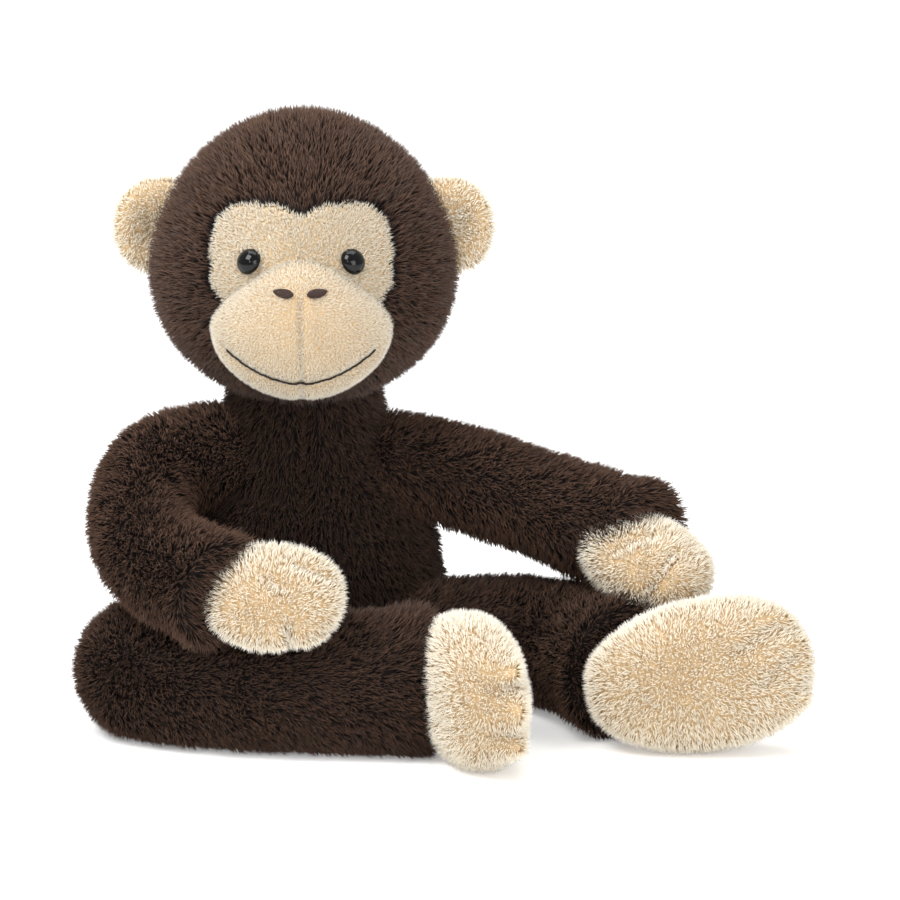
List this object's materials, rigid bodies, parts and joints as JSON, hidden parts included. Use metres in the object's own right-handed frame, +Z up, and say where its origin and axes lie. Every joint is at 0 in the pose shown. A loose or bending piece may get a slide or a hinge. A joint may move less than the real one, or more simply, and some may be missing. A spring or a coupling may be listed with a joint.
{
  "type": "stuffed monkey",
  "caption": "Plush monkey sitting with long floppy arms and legs, brown pile, cream face, ears, hands and feet.",
  "frame": {"origin": "centre of the front of the trunk's flat underside, where the toy sits on the floor", "axes": "+Z up, the monkey looks along -Y and its own right side is at -X"},
  "size_m": [0.2886, 0.1902, 0.24],
  "materials": {
    "brown_plush": "long matte pile",
    "cream_plush": "short matte pile",
    "polyester_filling": "loose fibre",
    "pellet_bag": "woven bag of pellets",
    "eye_plastic": "polished",
    "washer_plastic": "moulded",
    "thread": "embroidery thread"
  },
  "bodies": {
    "torso": {"torso_skin": "brown_plush", "torso_filling": "polyester_filling", "pellet_pouch": "pellet_bag", "back_closing_seam": "thread"},
    "neck": {"neck_skin": "brown_plush", "neck_filling": "polyester_filling"},
    "head": {"head_skin": "brown_plush", "face_panel": "cream_plush", "head_filling": "polyester_filling", "muzzle_skin": "cream_plush", "muzzle_filling": "polyester_filling", "right_eye": "eye_plastic", "right_eye_washer": "washer_plastic", "right_nostril": "thread", "left_eye": "eye_plastic", "left_eye_washer": "washer_plastic", "left_nostril": "thread", "mouth_stitching": "thread"},
    "right_ear": {"right_ear_flap": "cream_plush"},
    "left_ear": {"left_ear_flap": "cream_plush"},
    "right_upper_arm": {"right_upper_arm_skin": "brown_plush", "right_upper_arm_filling": "polyester_filling"},
    "right_forearm": {"right_forearm_skin": "brown_plush", "right_forearm_filling": "polyester_filling"},
    "right_hand": {"right_hand_skin": "cream_plush", "right_hand_filling": "pellet_bag"},
    "left_upper_arm": {"left_upper_arm_skin": "brown_plush", "left_upper_arm_filling": "polyester_filling"},
    "left_forearm": {"left_forearm_skin": "brown_plush", "left_forearm_filling": "polyester_filling"},
    "left_hand": {"left_hand_skin": "cream_plush", "left_hand_filling": "pellet_bag"},
    "right_thigh": {"right_thigh_skin": "brown_plush", "right_thigh_filling": "polyester_filling"},
    "right_shin": {"right_shin_skin": "brown_plush", "right_shin_filling": "polyester_filling"},
    "right_foot": {"right_foot_skin": "cream_plush", "right_foot_filling": "pellet_bag"},
    "left_thigh": {"left_thigh_skin": "brown_plush", "left_thigh_filling": "polyester_filling"},
    "left_shin": {"left_shin_skin": "brown_plush", "left_shin_filling": "polyester_filling"},
    "left_foot": {"left_foot_skin": "cream_plush", "left_foot_filling": "pellet_bag"}
  },
  "joints": [
    {"name": "neck_turn", "type": "hinge", "parent": "torso", "child": "neck", "pos_m": [0, 0.005, 0.129], "axis": [0, 0, -1], "range_deg": [-45, 45]},
    {"name": "head_nod", "type": "hinge", "parent": "neck", "child": "head", "pos_m": [0, 0.005, 0.129], "axis": [1, 0, 0], "range_deg": [-20, 20]},
    {"name": "right_ear_fold", "type": "hinge", "parent": "head", "child": "right_ear", "pos_m": [-0.056, -0.002, 0.196], "axis": [0, 0, 1], "range_deg": [-25, 25]},
    {"name": "left_ear_fold", "type": "hinge", "parent": "head", "child": "left_ear", "pos_m": [0.056, -0.002, 0.196], "axis": [0, 0, 1], "range_deg": [-25, 25]},
    {"name": "right_shoulder", "type": "hinge", "parent": "torso", "child": "right_upper_arm", "pos_m": [-0.037, -0.002, 0.101], "axis": [-0.8619, 0, -0.507], "range_deg": [0, 70]},
    {"name": "right_elbow", "type": "hinge", "parent": "right_upper_arm", "child": "right_forearm", "pos_m": [-0.065, -0.045, 0.086], "axis": [-0.507, 0, -0.8619], "range_deg": [0, 50]},
    {"name": "right_wrist", "type": "hinge", "parent": "right_forearm", "child": "right_hand", "pos_m": [-0.033, -0.097, 0.068], "axis": [-0.6313, -0.7015, -0.3307], "range_deg": [-10, 25]},
    {"name": "left_shoulder", "type": "hinge", "parent": "torso", "child": "left_upper_arm", "pos_m": [0.038, 0.002, 0.098], "axis": [-0.3011, -0.9536, 0], "range_deg": [0, 55]},
    {"name": "left_elbow", "type": "hinge", "parent": "left_upper_arm", "child": "left_forearm", "pos_m": [0.085, -0.01, 0.087], "axis": [0, 0.507, 0.8619], "range_deg": [-45, 15]},
    {"name": "left_wrist", "type": "hinge", "parent": "left_forearm", "child": "left_hand", "pos_m": [0.127, -0.021, 0.073], "axis": [-0.3785, -0.9193, 0.1081], "range_deg": [0, 25]},
    {"name": "right_hip", "type": "hinge", "parent": "torso", "child": "right_thigh", "pos_m": [-0.038, -0.024, 0.025], "axis": [0, 0, -1], "range_deg": [0, 15]},
    {"name": "right_knee", "type": "hinge", "parent": "right_thigh", "child": "right_shin", "pos_m": [-0.066, -0.061, 0.026], "axis": [0, 0, -1], "range_deg": [0, 50]},
    {"name": "right_ankle", "type": "hinge", "parent": "right_shin", "child": "right_foot", "pos_m": [0.046, -0.084, 0.027], "axis": [0, 0, 1], "range_deg": [-15, 15]},
    {"name": "left_hip", "type": "hinge", "parent": "torso", "child": "left_thigh", "pos_m": [0.043, -0.011, 0.025], "axis": [0, 0, -1], "range_deg": [0, 15]},
    {"name": "left_knee", "type": "hinge", "parent": "left_thigh", "child": "left_shin", "pos_m": [0.094, -0.01, 0.026], "axis": [0, 0, -1], "range_deg": [-30, 15]},
    {"name": "left_ankle", "type": "hinge", "parent": "left_shin", "child": "left_foot", "pos_m": [0.129, -0.06, 0.027], "axis": [0, 0, 1], "range_deg": [-20, 20]}
  ]
}
